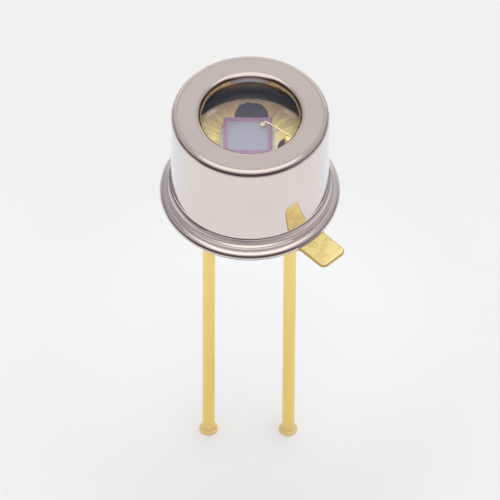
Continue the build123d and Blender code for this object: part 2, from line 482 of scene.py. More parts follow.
class Value:
    """Number, vector or colour in a node tree, with what can be worked out from it."""

    def __init__(self, graph, socket):
        self.graph = graph
        self.socket = socket

    def apply(self, operation, *others, clamp=False):
        """Result of a Math node, or of a Vector Math node where this is a vector."""
        inputs = dict(enumerate((self, *others)))
        if self.socket.type != "VECTOR":
            settings = {"operation": operation, "use_clamp": clamp}
            return self.graph.add("ShaderNodeMath", inputs, **settings)[0]
        made = self.graph.add("ShaderNodeVectorMath", inputs, operation=operation)
        return made["Value" if operation == "LENGTH" else "Vector"]

    __add__ = partialmethod(apply, "ADD")
    __sub__ = partialmethod(apply, "SUBTRACT")
    __mul__ = partialmethod(apply, "MULTIPLY")
    __truediv__ = partialmethod(apply, "DIVIDE")
    __abs__ = partialmethod(apply, "ABSOLUTE")
    length = partialmethod(apply, "LENGTH")
    at_least = partialmethod(apply, "MAXIMUM")

    def __rsub__(self, other):
        return self * -1.0 + other

    def split(self):
        """The three parts of a vector."""
        parts = self.graph.add("ShaderNodeSeparateXYZ", {0: self})
        return [parts[axis] for axis in range(3)]

    def ramp(self, low, high, out_low=0.0, out_high=1.0):
        """Moves smoothly from one level to another while this number runs from low to high."""
        inputs = dict(enumerate((self, low, high, out_low, out_high)))
        return self.graph.add("ShaderNodeMapRange", inputs, interpolation_type="SMOOTHSTEP")[0]

    def noise(self, scale, detail=2.0, roughness=0.5):
        """Noise between 0 and 1 at this place."""
        inputs = {"Vector": self, "Scale": scale, "Detail": detail, "Roughness": roughness}
        return self.graph.add("ShaderNodeTexNoise", inputs)[0]

    def layered(self, *layers):
        """This colour under others, each laid on by its own mask."""
        colour = self
        for mask, top in layers:
            colour = self.graph.mix(mask, colour, top)
        return colour


class Graph:
    """Adds nodes to one node tree and links them."""

    def __init__(self, tree):
        self.tree = tree

    def add(self, kind, inputs=None, **settings):
        """Adds a node and returns its outputs by number and by name."""
        made = self.tree.nodes.new(kind)
        for key, value in settings.items():
            setattr(made, key, value)
        for key, value in (inputs or {}).items():
            if isinstance(value, Value):
                self.tree.links.new(value.socket, made.inputs[key])
            else:
                made.inputs[key].default_value = value
        outputs = {}
        for number, socket in enumerate(made.outputs):
            outputs[number] = outputs[socket.name] = Value(self, socket)
        return outputs

    def ray(self, output):
        """What is known of the ray that sees the surface."""
        return self.add("ShaderNodeLightPath")[output]

    def mix(self, factor, first, second):
        """Mixed colour."""
        first, second = (c if isinstance(c, Value) else (*c, 1.0) for c in (first, second))
        return self.add("ShaderNodeMix", {0: factor, 6: first, 7: second}, data_type="RGBA")[2]


class Surface(Graph):
    """Graph of one new material. Its places are in millimetres."""

    def __init__(self, name):
        self.material = bpy.data.materials.new(name)
        self.material.use_nodes = True
        self.material.node_tree.nodes.clear()
        super().__init__(self.material.node_tree)

    def place(self):
        """Place on the object."""
        return self.add("ShaderNodeTexCoord")["Object"] * (1 / MM, 1 / MM, 1 / MM)

    def vector(self, x, y, z=0.0):
        """Vector of three numbers."""
        return self.add("ShaderNodeCombineXYZ", {0: x, 1: y, 2: z})[0]

    def bump(self, height, strength, depth):
        """Normal from a height."""
        inputs = {"Height": height, "Strength": strength, "Distance": depth * MM}
        return self.add("ShaderNodeBump", inputs)[0]

    def plating(self, place, scale, plate, stain, amount, roughness, spread):
        """Colour, roughness and height of the shared plated surface."""
        values = (place, scale, (*plate, 1.0), (*stain, 1.0), amount, roughness, spread)
        inputs = dict(enumerate(values))
        made = self.add("ShaderNodeGroup", inputs, node_tree=plating_group())
        return made["Colour"], made["Roughness"], made["Height"]

    def streaks(self, place, stretch, sharpness):
        """Mask of the shared drawn streaks."""
        inputs = {"Vector": place, "Stretch": stretch, "Sharpness": sharpness}
        return self.add("ShaderNodeGroup", inputs, node_tree=streak_group())["Mask"]

    def output(self, shader):
        """Puts a shader on the output and returns the material."""
        self.add("ShaderNodeOutputMaterial", {"Surface": shader})
        return self.material

    def finish(self, colour, roughness, **inputs):
        """Returns the material with one Principled shader."""
        inputs = {key.replace("_", " "): value for key, value in inputs.items()}
        inputs.update({"Base Color": colour, "Roughness": roughness})
        return self.output(self.add("ShaderNodeBsdfPrincipled", inputs)[0])


def scaled(tint, *factors):
    """Colour times one factor, or times one for each channel."""
    return [min(1.0, channel * factor) for channel, factor in zip(tint, factors * 3)]


def new_group(name, inputs, outputs):
    """Empty node group with its sockets, or the finished one with no graph if it is there."""
    if name in bpy.data.node_groups:
        return bpy.data.node_groups[name], None, None
    group = bpy.data.node_groups.new(name, "ShaderNodeTree")
    for label, (kind, default) in inputs.items():
        socket = group.interface.new_socket(label, in_out="INPUT", socket_type=kind)
        socket.default_value = default
    for label, kind in outputs.items():
        group.interface.new_socket(label, in_out="OUTPUT", socket_type=kind)
    graph = Graph(group)
    return group, graph, graph.add("NodeGroupInput")


def plating_group():
    """Plated metal: faint stains, a fine grain and small pits, whatever their scale."""
    number, tint = "NodeSocketFloat", "NodeSocketColor"
    group, graph, given = new_group(
        "Plated Surface",
        {
            "Vector": ("NodeSocketVector", (0.0, 0.0, 0.0)),
            "Scale": (number, 1.0),
            "Colour": (tint, (0.8, 0.8, 0.8, 1.0)),
            "Stain": (tint, (0.5, 0.5, 0.5, 1.0)),
            "Stain Amount": (number, 0.3),
            "Roughness": (number, 0.2),
            "Roughness Spread": (number, 0.05),
        },
        {"Colour": tint, "Roughness": number, "Height": number},
    )
    if graph:
        patches = given["Vector"].noise(given["Scale"], 3.0, 0.55)
        grain = given["Vector"].noise(given["Scale"] * 14.0, 3.0, 0.6)
        speck = grain.ramp(0.55, 0.75) * given["Stain Amount"] * 0.35
        amount = patches.ramp(0.42, 0.72) * given["Stain Amount"]
        amount = amount.apply("ADD", speck, clamp=True)
        swing = (patches + grain - 1.0) * given["Roughness Spread"]
        results = {
            "Colour": given["Colour"].layered((amount, given["Stain"])),
            "Roughness": given["Roughness"].apply("ADD", swing, clamp=True),
            "Height": grain * 0.35 + patches,
        }
        graph.add("NodeGroupOutput", results)
    return group


def streak_group():
    """Drawn or pressed streaks: a noise pulled out along one direction."""
    group, graph, given = new_group(
        "Drawn Streaks",
        {
            "Vector": ("NodeSocketVector", (0.0, 0.0, 0.0)),
            "Stretch": ("NodeSocketVector", (1.0, 1.0, 1.0)),
            "Sharpness": ("NodeSocketFloat", 0.15),
        },
        {"Mask": "NodeSocketFloat"},
    )
    if graph:
        lines = (given["Vector"] * given["Stretch"]).noise(1.0, 3.0, 0.6)
        mask = lines.ramp(0.5 - given["Sharpness"], given["Sharpness"] + 0.5)
        graph.add("NodeGroupOutput", {"Mask": mask})
    return group


def nickel_material(plan):
    """Bright nickel plate, with painted shade in its folds and painted reflections as dark lines
    inside its aperture.
    """
    graph = Surface("nickel_plate")
    place = graph.place()
    plate, rough, grain = graph.plating(
        place, 0.7, plan.can_nickel, plan.can_stain, 0.16, plan.can_roughness, 0.03
    )
    across, _, height = place.split()
    outward = (place * FLAT).length()
    upright = graph.add("ShaderNodeNewGeometry")["Normal"].split()[2]
    leaning = across / outward
    aside = abs(leaning)
    # Painted shade on the flange is heavier on the left side than on the right.
    right = leaning.ramp(-0.1, 0.1, 1.0, 0.45)
    radius, hole, ceiling = plan.can_radius, plan.can_aperture / 2, plan.can_ceiling

    # The flange: its tool lines, painted shade on its satin sides, and painted shade in the fold
    # and on the shelf at the wall's foot.
    flange = outward.ramp(radius + 0.02, radius + 0.06)
    tooled = graph.streaks(graph.vector(outward, 0.0, outward * 0.3), (16.0, 1.0, 16.0), 0.4)
    soft = upright.ramp(0.6, 0.97) * flange * aside.ramp(0.45, 0.85) * right
    soft = soft * tooled.ramp(0.0, 1.0, 1.0, 0.7)
    patches = place.noise(0.9).ramp(0.35, 0.6, 0.6, 1.0) * aside.ramp(0.2, 0.75, 0.75, 1.0)
    off_wall = outward.ramp(radius + 0.003, radius + 0.02)
    fold_painted_shade = outward.ramp(radius + 0.10, radius + 0.04) * off_wall * patches * right
    shelf_painted_shade = outward.ramp(radius + 0.09, radius + 0.07) * off_wall * 0.2
    # Painted shade and reflections: a dim brown band and a blue band on the inside of the wall,
    # darkening over the top's two rounded edges, and dark and gold lines inside the aperture.
    within = outward.ramp(plan.can_inner + 0.03, plan.can_inner + 0.01)
    # Painted shade over the aperture's rolled edge and over the top's outer rounded edge.
    rolled = outward.ramp(hole + 0.2, hole + 0.1) * 0.22
    crown_painted_shade = outward.ramp(radius - 0.24, radius - 0.2) * 0.24
    crown_painted_shade = crown_painted_shade * height.ramp(plan.can_height - 0.12, plan.can_height - 0.06)
    # Painted reflections inside the aperture: dark lines on its sides and a gold tone on its bore.
    lip_painted_reflection = outward.ramp(hole + 0.09, hole + 0.04) * aside.ramp(0.24, 0.5)
    lip_painted_reflection = lip_painted_reflection * height.ramp(ceiling, ceiling + 0.02)
    bore_painted_reflection = outward.ramp(hole + 0.01, hole + 0.004) * lip_painted_reflection
    bore_painted_reflection = bore_painted_reflection * height.ramp(ceiling + 0.02, ceiling + 0.05)
    plate = plate.layered(
        (soft, (0.43, 0.385, 0.41)),
        (fold_painted_shade, (0.22, 0.18, 0.235)),
        (shelf_painted_shade, (0.30, 0.25, 0.255)),
        (within * height.ramp(ceiling + 0.02, ceiling), (0.33, 0.275, 0.28)),
        (within * height.ramp(2.35, 2.05), (0.21, 0.26, 0.85)),
        (rolled, (0.12, 0.08, 0.05)),
        (crown_painted_shade, (0.36, 0.31, 0.26)),
        (lip_painted_reflection, (0.17, 0.10, 0.07)),
        (bore_painted_reflection, (0.55, 0.45, 0.25)),
    )

    # The corner above the rim mirrors less, and the flange's level parts are duller.
    groove = height.ramp(plan.rim_top + 0.16, plan.rim_top + 0.08) * flange
    groove = groove * outward.ramp(plan.ledge_radius + 0.06, plan.ledge_radius + 0.03)
    dull = flange * 0.03 + upright.ramp(0.93, 0.995) * flange * 0.12
    return graph.finish(
        plate,
        rough + dull,
        Metallic=groove.at_least(bore_painted_reflection * 0.8).ramp(0.0, 1.0, 1.0, 0.25),
        Normal=graph.bump(grain + tooled * flange * 0.6, 0.12, 0.0006),
    )


def header_gold_material(plan):
    """Satin gold plate, pressed in streaks that run out from the middle of the floor."""
    graph = Surface("header_gold_plate")
    place = graph.place()
    plate, rough, grain = graph.plating(
        place, 4.2, plan.header_gold, plan.header_tarnish, 0.55, plan.header_roughness, 0.12
    )
    flat = place * FLAT
    outward = flat.length()
    depth = place.split()[1]
    on_tab = outward.ramp(2.4, 2.6)
    on_floor = 1.0 - on_tab

    # The floor: streaks, painted shade to the rear with a pink tone, specks, the bright ring round
    # the anode's glass, glass that crept over the edge of the blank hole, and two painted
    # highlights on the platform's bend.
    polar = flat.apply("NORMALIZE") * (12.0, 12.0, 0.0) + place * (0.3, 0.3, 0.3)
    streaks = graph.streaks(polar, (1.0, 1.0, 1.0), 0.12) * on_floor
    # Painted shade: the rear of the floor is painted darker and pinker.
    rear_painted_shade = depth.ramp(0.5, 1.6, 0.0, 0.7) * on_floor
    specks = place.noise(9.0, 1.0).ramp(0.64, 0.72, 0.0, 0.5) * on_floor
    bright_anode_ring = (flat - (*plan.anode, 0.0)).length().ramp(0.85, 0.6, 0.0, 0.75) * on_floor
    creep = (place.noise(5.0, 1.0) - 0.5) * 0.14
    blank = plan.header_blank_seal / 2
    wetted = ((flat - (*plan.blank, 0.0)).length() - creep).ramp(blank + 0.01, blank)
    bend = plan.platform_radius - plan.header_platform_round - 0.04
    ratio = depth / outward
    # Painted highlights: two pink gleams on the platform's rounded edge.
    bend_painted_highlight = abs(outward - bend).ramp(0.12, 0.03) * on_floor
    bend_painted_highlight = bend_painted_highlight * ratio.ramp(0.62, 0.72) * ratio.ramp(0.86, 0.78)

    # The tab: a painted highlight near its end, painted shade along its outline, a painted shadow
    # at its root under the can's rim, and a painted darker reflection where the can mirrors it.
    inputs = {"Vector": place, "Angle": -plan.header_tab_angle}
    turned = graph.add("ShaderNodeVectorRotate", inputs, rotation_type="Z_AXIS")[0]
    along, beside, _ = turned.split()
    corner = plan.header_tab_corner
    past = (along - (plan.tab_end - corner)).at_least(0.0)
    out = (abs(beside) - (plan.tab_half - corner)).at_least(0.0)
    from_corner = graph.vector(past, out).length()
    # Painted highlight near the tab's end, painted shade along its edge and a painted shadow at
    # its root.
    polished = from_corner.ramp(corner - 0.08, corner - 0.06) * on_tab * past.ramp(0.0, 0.08)
    outline = from_corner.ramp(corner - 0.05, corner - 0.03) * on_tab
    root = outward.ramp(plan.flange_radius + 0.012, plan.flange_radius) * on_tab
    # Painted reflection: the tab is painted darker where the can mirrors it.
    mirrored = graph.ray("Ray Length").ramp(0.68 * MM, 0.6 * MM)
    mirrored = mirrored * graph.ray("Is Glossy Ray") * on_tab
    plate = plate.layered(
        (streaks * 0.75, (0.55, 0.37, 0.14)),
        (rear_painted_shade, (0.56, 0.34, 0.235)),
        (specks, (0.22, 0.14, 0.08)),
        (bright_anode_ring, (1.0, 0.85, 0.38)),
        (wetted, (0.07, 0.062, 0.08)),
        (bend_painted_highlight, (1.0, 0.74, 0.58)),
        (polished, (1.0, 0.94, 0.62)),
        (outline, (0.62, 0.40, 0.11)),
        (root, (0.15, 0.11, 0.10)),
        (mirrored, (0.42, 0.36, 0.36)),
    )
    return graph.finish(
        plate,
        rough - on_tab * 0.07,
        Metallic=on_tab * 0.15,
        Normal=graph.bump(streaks * 0.8 + grain, 0.35, 0.008),
    )


def lead_gold_material(plan):
    """Satin gold plate on drawn wire, darker toward its cut end and worn brown there."""
    graph = Surface("lead_gold_plate")
    place = graph.place()
    tarnish = plan.leads_tarnish
    plate, rough, grain = graph.plating(
        place, 1.3, plan.leads_gold, tarnish, 0.14, plan.leads_roughness, 0.04
    )
    height = place.split()[2]
    end = -plan.leads_reach
    worn = height.ramp(end + 0.12, end + 0.5, 1.0, 0.0)
    plate = plate.layered(
        (graph.streaks(place, (9.0, 9.0, 0.26), 0.2) * 0.25, tarnish),
        (height.ramp(-2.0, end, 0.0, 0.5), tarnish),
        (worn, plan.leads_cut_end),
    )
    metallic = worn.ramp(0.0, 1.0, 1.0, 0.3)
    return graph.finish(plate, rough, Metallic=metallic, Normal=graph.bump(grain, 0.12, 0.002))


def wire_gold_material(plan):
    """Bright gold of the bond wire."""
    graph = Surface("wire_gold")
    plate, rough, _ = graph.plating(
        graph.place(), 6.0, plan.wire_gold, plan.leads_tarnish, 0.2, 0.4, 0.08
    )
    return graph.finish(plate, rough, Metallic=0.6)


def window_material(plan):
    """Clear polished glass that lets the lamps through to the chip."""
    graph = Surface("window_glass")
    glass = graph.add(
        "ShaderNodeBsdfPrincipled",
        {
            "Base Color": (*plan.window_clear, 1.0),
            "Roughness": 0.0,
            "IOR": GLASS_IOR,
            "Transmission Weight": 1.0,
        },
    )
    passing = graph.add("ShaderNodeBsdfTransparent", {"Color": (0.96, 0.965, 0.97, 1.0)})
    inputs = {0: graph.ray("Is Shadow Ray"), 1: glass[0], 2: passing[0]}
    return graph.output(graph.add("ShaderNodeMixShader", inputs)[0])


def dark_glass_material(name, tint):
    """Dark melted glass with tiny bubbles and a slight swirl."""
    graph = Surface(name)
    place = graph.place()
    swirl = place.noise(2.5, 3.0)
    body = graph.mix(swirl, tint, scaled(tint, 2.2))
    body = body.layered((place.noise(14.0, 1.0).ramp(0.68, 0.74), (0.16, 0.15, 0.18)))
    normal = graph.bump(swirl, 0.2, 0.01)
    return graph.finish(body, swirl * 0.12 + 0.10, IOR=GLASS_IOR, Normal=normal)


def oxide_material(plan):
    """Polished silicon under a violet oxide, tinted unevenly by the oxide's thickness."""
    graph = Surface("violet_oxide")
    place = graph.place()
    drift = place.noise(1.4)
    film = graph.mix(drift, plan.chip_oxide, scaled(plan.chip_oxide, 1.12, 1.25, 1.0))
    off_middle = abs(place - (plan.chip_offset_x, plan.chip_offset_y, 0.0))
    active_half = (plan.chip_active_width / 2, plan.chip_active_depth / 2, 0.0)
    past_x, past_y, _ = (off_middle - active_half).split()
    border = past_x.at_least(past_y).ramp(0.03, 0.01, 0.0, 0.7)
    # Painted reflection: seen after more than two bounces, the oxide is painted gold.
    mirrored = graph.ray("Ray Depth").apply("GREATER_THAN", 2.5)
    film = film.layered((border, (0.36, 0.25, 0.19)), (mirrored, (0.70, 0.50, 0.26)))
    return graph.finish(film, drift.ramp(0.2, 0.8, 0.18, 0.26), Metallic=0.25)


def active_material(plan):
    """Grey-blue active area under its anti-reflection film."""
    graph = Surface("active_area")
    place = graph.place()
    blue = plan.chip_active
    speckle = place.noise(26.0)
    film = graph.mix(place.noise(0.9), blue, scaled(blue, 1.05, 1.05, 0.97))
    film = film.layered((speckle.ramp(0.5, 0.8) * 0.12, scaled(blue, 0.8)))
    return graph.finish(film, speckle.ramp(0.2, 0.8, 0.18, 0.26), Metallic=0.45)


def silicon_side_material():
    """Sawn sides of the chip."""
    graph = Surface("sawn_silicon")
    sawn = graph.streaks(graph.place(), (2.0, 2.0, 60.0), 0.2)
    body = graph.mix(sawn, (0.10, 0.10, 0.115), (0.22, 0.22, 0.24))
    return graph.finish(body, sawn.ramp(0.0, 1.0, 0.35, 0.55), Metallic=0.6)


def adhesive_material(plan):
    """Silver-filled adhesive with its flakes."""
    graph = Surface("silver_adhesive")
    place = graph.place()
    flakes = graph.add("ShaderNodeTexVoronoi", {"Vector": place, "Scale": 42.0})[0]
    bright = flakes.ramp(0.25, 0.0)
    lumps = place.noise(9.0, 3.0)
    body = graph.mix(lumps, plan.chip_silver, scaled(plan.chip_silver, 0.72))
    return graph.finish(
        body.layered((bright, (0.86, 0.84, 0.79))),
        lumps.ramp(0.2, 0.8, 0.42, 0.6),
        Metallic=bright.ramp(0.0, 1.0, 0.1, 0.4),
        Normal=graph.bump(lumps, 0.5, 0.01),
    )


def floor_material(plan):
    """Pale floor with the faintest tooth, painted light to even it round the part and painted
    shade far from it.
    """
    graph = Surface("pale_floor")
    place = graph.place()
    depth = place.split()[1]
    mirrored = graph.ray("Is Glossy Ray")
    tooth = place.noise(0.9, 3.0)

    def near(x, y, *levels):
        """Mask by the distance from a place on the floor."""
        return (place - (x, y, -plan.leads_reach)).length().ramp(*levels)

    # Painted light under the part and to its left, a little painted shade behind it, a painted
    # bluer tint in reflections, and painted shade far away.
    paper = graph.mix(tooth, plan.stage_floor, scaled(plan.stage_floor, 1.01)).layered(
        (near(0.0, 3.8, 8.0, 3.0), (0.945, 0.96, 0.99)),
        (near(-10.0, 1.0, 12.0, 3.0, 0.0, 0.45) * (1.0 - mirrored), (0.95, 0.955, 0.965)),
        (depth.ramp(2.0, 14.0, 0.0, 0.028), (0.0, 0.0, 0.0)),
        (depth.ramp(1.0, 9.0) * mirrored, (0.85, 0.89, 0.96)),
        (near(0.0, 8.0, 26.0, 75.0), (0.42, 0.40, 0.40)),
    )
    return graph.finish(paper, tooth.ramp(0.0, 1.0, 0.75, 0.85), Specular_IOR_Level=0.1)


# Pieces


class PHOTODIODE_OT_can(bpy.types.Operator):
    """Adds the nickel-plated can with its rolled aperture and stepped flange"""

    bl_idname = "photodiode.can"
    bl_label = "Can"
    bl_options = {"REGISTER", "UNDO"}

    def execute(self, context):
        plan = Plan(context.scene)
        top, hole = plan.can_height, plan.can_aperture / 2
        foot_round, rim_round = (0.10, 0.048), (0.17, 0.15)
        flat_inset, slope_inset, side_outset, slope_round = 0.1, 0.05, 0.03, 0.01
        steep_drop, slope_drop = 0.15, 0.205
        rim_gap, rim_slope, mouth_round, break_edge = 0.008, 0.018, 0.06, 0.012
        step, step_top = plan.ledge_radius, plan.ledge_top
        step_side = step + side_outset
        outline = rounded(
            [
                (hole, top, plan.can_roll_depth, plan.can_roll_width),
                (plan.can_radius, top, plan.can_top_round),
                (plan.can_radius, step_top, *foot_round),
                (step - flat_inset, step_top, slope_round * 0.4),
                (step - slope_inset, step_top - steep_drop, slope_round),
                (step_side, step_top - slope_drop, slope_round),
                (step_side, plan.rim_top + rim_gap, break_edge),
                (plan.rim_radius, plan.rim_top - rim_slope, *rim_round),
                (plan.rim_radius, plan.header_flange, break_edge),
                (plan.can_inner, plan.header_flange, mouth_round),
                (plan.can_inner, plan.can_ceiling),
                (hole - break_edge, plan.can_ceiling),
            ],
            closed=True,
        )
        shape = Shape()
        shape.turn(outline, closed=True)
        shape.place("can_shell", "can_nickel", "can", nickel_material(plan))
        return {"FINISHED"}


class PHOTODIODE_OT_window(bpy.types.Operator):
    """Adds the window and the glass ring that seals it"""

    bl_idname = "photodiode.window"
    bl_label = "Window"
    bl_options = {"REGISTER", "UNDO"}

    def execute(self, context):
        plan = Plan(context.scene)
        top = plan.can_ceiling
        bottom = top - plan.window_thickness
        edge_round, radius = 0.02, plan.window_radius
        corners = [(0, bottom), (radius, bottom, edge_round), (radius, top, edge_round), (0, top)]
        shape = Shape()
        shape.turn(rounded(corners))
        shape.place("window_pane", "window_glass", "window", window_material(plan))

        low = Vector((plan.can_inner, top - plan.window_seal_drop))
        high = Vector((radius, top - plan.window_seal_edge))
        pull_along, pull_up = 0.75, 0.035
        hollow = low.lerp(high, pull_along) + Vector((0.0, pull_up))
        ring = [Vector((radius, top)), Vector((plan.can_inner, top))]
        for step in range(ARC_STEPS + 1):
            along = step / ARC_STEPS
            ring.append(low.lerp(hollow, along).lerp(hollow.lerp(high, along), along))
        shape = Shape()
        shape.turn(ring, closed=True)
        dark = dark_glass_material("seal_glass", plan.window_seal)
        shape.place("window_seal_ring", "seal_glass", "window_seal", dark)
        return {"FINISHED"}


def tab_reach(plan, angle, inset):
    """Distance from the axis to the edge of the flange and tab, both made smaller by the inset."""
    half, end = plan.tab_half - inset, plan.tab_end - inset
    corner, root = plan.header_tab_corner, plan.header_tab_root
    corner_centre = Vector((plan.tab_end - corner, plan.tab_half - corner))
    turn = abs(math.remainder(angle - plan.header_tab_angle, math.tau))
    if turn >= math.atan2(plan.root_centre.y, plan.root_centre.x):
        return plan.flange_radius - inset
    ray = Vector((math.cos(turn), math.sin(turn)))
    if turn > math.atan2(half, plan.root_centre.x):
        centre, radius, side = plan.root_centre, root + inset, -1
    elif turn > math.atan2(half, corner_centre.x):
        return half / ray.y
    elif turn > math.atan2(corner_centre.y, end):
        centre, radius, side = corner_centre, corner - inset, 1
    else:
        return end / ray.x
    along = centre.dot(ray)
    return along + side * math.sqrt(max(0.0, along**2 - centre.length_squared + radius**2))


def tab_angles(plan):
    """Angles round the header, closer together over the tab."""
    corner = plan.header_tab_corner
    marks = [
        0.0,
        math.atan2(plan.tab_half - corner, plan.tab_end),
        math.atan2(plan.tab_half, plan.tab_end - corner),
        math.atan2(plan.tab_half, plan.root_centre.x),
        math.atan2(plan.root_centre.y, plan.root_centre.x),
    ]
    tab_steps, rest_steps = 8, 150
    side = [
        first + (second - first) * step / tab_steps
        for first, second in zip(marks, marks[1:])
        for step in range(tab_steps)
    ]
    rest = math.tau - 2 * marks[-1]
    turns = side + [marks[-1] + rest * step / rest_steps for step in range(rest_steps + 1)]
    turns += [math.tau - turn for turn in reversed(side[1:])]
    return [plan.header_tab_angle + turn for turn in turns]


class PHOTODIODE_OT_header(bpy.types.Operator):
    """Adds the gold-plated header: platform with two glass holes, wall, flange and index tab"""

    bl_idname = "photodiode.header"
    bl_label = "Header"
    bl_options = {"REGISTER", "UNDO"}

    def execute(self, context):
        plan = Plan(context.scene)
        angles = tab_angles(plan)
        top, bottom, flange = plan.header_platform, plan.platform_underside, plan.header_flange
        foot_width, foot_round, break_edge = 0.30, 0.08, 0.012
        foot = plan.platform_radius + foot_width
        outside = rounded(
            [
                (0, top),
                (plan.platform_radius, top, plan.header_platform_round),
                (plan.platform_radius, flange, foot_round),
                (foot, flange),
            ]
        )[1:]
        mouth = (plan.cavity_radius, 0, plan.header_mouth_round)
        shape = Shape()
        outside = shape.turn(outside, angles)
        inner = shape.turn(rounded([(foot, 0), mouth, (plan.cavity_radius, bottom)]), angles)

        edge = plan.header_edge_round
        bends = [(edge * (1 - math.sin(t)), edge * (1 - math.cos(t))) for t in QUARTER_TURN]
        rings = [(part, 0.0, flange) for part in (0.25, 0.5, 0.75)]
        rings.append((1.0, edge + GUARD, flange))
        rings += [(1.0, inset, flange - drop) for inset, drop in bends]
        rings += [(1.0, inset, drop) for inset, drop in reversed(bends)]
        rings.append((1.0, edge + GUARD, 0.0))
        rings += [(part, 0.0, 0.0) for part in (0.66, 0.33)]
        loops = [outside[-1]]
        for part, inset, height in rings:
            ring = []
            for angle in angles:
                full = tab_reach(plan, angle, inset if part == 1.0 else edge)
                reach = foot + (full - foot) * part
                ring.append((reach * math.cos(angle), reach * math.sin(angle), height))
            loops.append(shape.loop(ring))
        shape.join([*loops, inner[0]])

        holes = []
        for diameter, place in (
            (plan.header_blank_seal, plan.blank),
            (plan.header_lead_seal, plan.anode),
        ):
            radius = diameter / 2
            wall = [(radius + break_edge, top), (radius, top - break_edge), (radius, bottom)]
            holes.append(shape.turn(wall, SMALL_ROUND_STEPS, place))
        shape.fill(outside[0], [hole[0] for hole in holes])
        shape.fill(inner[-1], [hole[-1] for hole in holes])
        shape.place("header_shell", "header_gold", "header", header_gold_material(plan))
        return {"FINISHED"}


class PHOTODIODE_OT_header_glass(bpy.types.Operator):
    """Adds the glass that fills the header and stands in its holes"""

    bl_idname = "photodiode.header_glass"
    bl_label = "Header Glass"
    bl_options = {"REGISTER", "UNDO"}

    def execute(self, context):
        plan = Plan(context.scene)
        gap = 0.002  # between the glass and the metal
        wall_creep, wall_share = 0.03, 0.1
        lead_creep, point_spacing = 0.06, 0.09
        radius = plan.cavity_radius - gap
        leads = (plan.anode, plan.cathode)
        wire = plan.lead_radius

        def dish(x, y):
            """Height of the domed underside, which creeps down the wall and the leads."""
            out = math.hypot(x, y) / radius
            height = plan.header_glass_recess + plan.header_glass_dish * (1 - out**2)
            height -= wall_creep * max(0.0, out - 1 + wall_share) / wall_share
            for lead_x, lead_y in leads:
                off_lead = math.hypot(x - lead_x, y - lead_y) - wire
                height -= lead_creep * math.exp(-off_lead / lead_creep)
            return height

        def ring(centre, size, height, steps=SMALL_ROUND_STEPS):
            """Closed ring at a height or at the heights of a surface."""
            points = circle(size, even_angles(steps), centre)
            return shape.loop((*p, height(*p) if callable(height) else height) for p in points)

        shape = Shape()
        bottom, top = plan.platform_underside, plan.seal_top
        low = ring((0, 0), radius, dish, ROUND_STEPS)
        high = ring((0, 0), radius, bottom, ROUND_STEPS)
        shape.bridge(low, high)
        holes = [ring(place, wire, dish) for place in leads]
        shape.fill(low, holes, dish, point_spacing)

        # The disc in the blank hole, a little hollow.
        edge_drop, disc_edge, disc_sink, disc_hollow = 0.01, 0.03, 0.025, 0.02
        blank, edge = plan.header_blank_seal / 2 - gap, top - edge_drop
        disc = [(blank, bottom), (blank, edge), (blank - disc_edge, edge - edge_drop)]
        for part in (0.8, 0.6, 0.4, 0.2, 0.0):
            disc.append((blank * part, top - disc_sink - disc_hollow * (1 - part)))
        disc = shape.turn(disc, SMALL_ROUND_STEPS, plan.blank)

        # The collar round the anode lead, which climbs it.
        collar_edge, collar_sink, climb_width, climb = 0.04, 0.04, 0.03, 0.05
        seal = plan.header_lead_seal / 2 - gap
        collar = [(seal, bottom), (seal, edge), (seal - collar_edge, edge - 2 * edge_drop)]
        collar.append(((seal + wire) / 2, top - collar_sink))
        collar += [(wire + climb_width, edge), (wire, top + climb)]
        collar = shape.turn(collar, SMALL_ROUND_STEPS, plan.anode)
        shape.bridge(collar[-1], holes[0])

        weld = ring(plan.cathode, wire, bottom)
        shape.bridge(holes[1], weld)
        shape.fill(high, [disc[0], collar[0], weld])
        dark = dark_glass_material("header_glass", plan.header_glass)
        shape.place("header_glass_fill", "header_glass", "header_glass", dark)
        return {"FINISHED"}


class PHOTODIODE_OT_leads(bpy.types.Operator):
    """Adds the two gold-plated leads with their upset feet"""

    bl_idname = "photodiode.leads"
    bl_label = "Leads"
    bl_options = {"REGISTER", "UNDO"}

    def execute(self, context):
        plan = Plan(context.scene)
        material = lead_gold_material(plan)
        radius, foot = plan.lead_radius, plan.leads_foot_diameter / 2
        foot_round, ankle_round = 0.035, 0.05
        end = -plan.leads_reach
        ankle = end + plan.leads_foot_thickness
        for name, top, top_round, place in (
            ("anode_lead", plan.post_top, 0.03, plan.anode),
            ("cathode_lead", plan.platform_underside, 0.01, plan.cathode),
        ):
            corners = [(0, end), (foot, end, foot_round), (foot, ankle, foot_round)]
            corners += [(radius, ankle, ankle_round), (radius, top, top_round), (0, top)]
            shape = Shape()
            shape.turn(rounded(corners), LEAD_STEPS, place)
            shape.place(f"{name}_wire", "lead_gold", name, material)
        return {"FINISHED"}


def rectangle(centre, width, depth, corner, steps=6):
    """Points of a rectangle with rounded corners."""
    points = []
    for quarter, (sign_x, sign_y) in enumerate(((1, 1), (-1, 1), (-1, -1), (1, -1))):
        middle_x = centre[0] + sign_x * (width / 2 - corner)
        middle_y = centre[1] + sign_y * (depth / 2 - corner)
        turns = [math.pi / 2 * (quarter + step / steps) for step in range(steps + 1)]
        points.extend(circle(corner, turns, (middle_x, middle_y)))
    return points


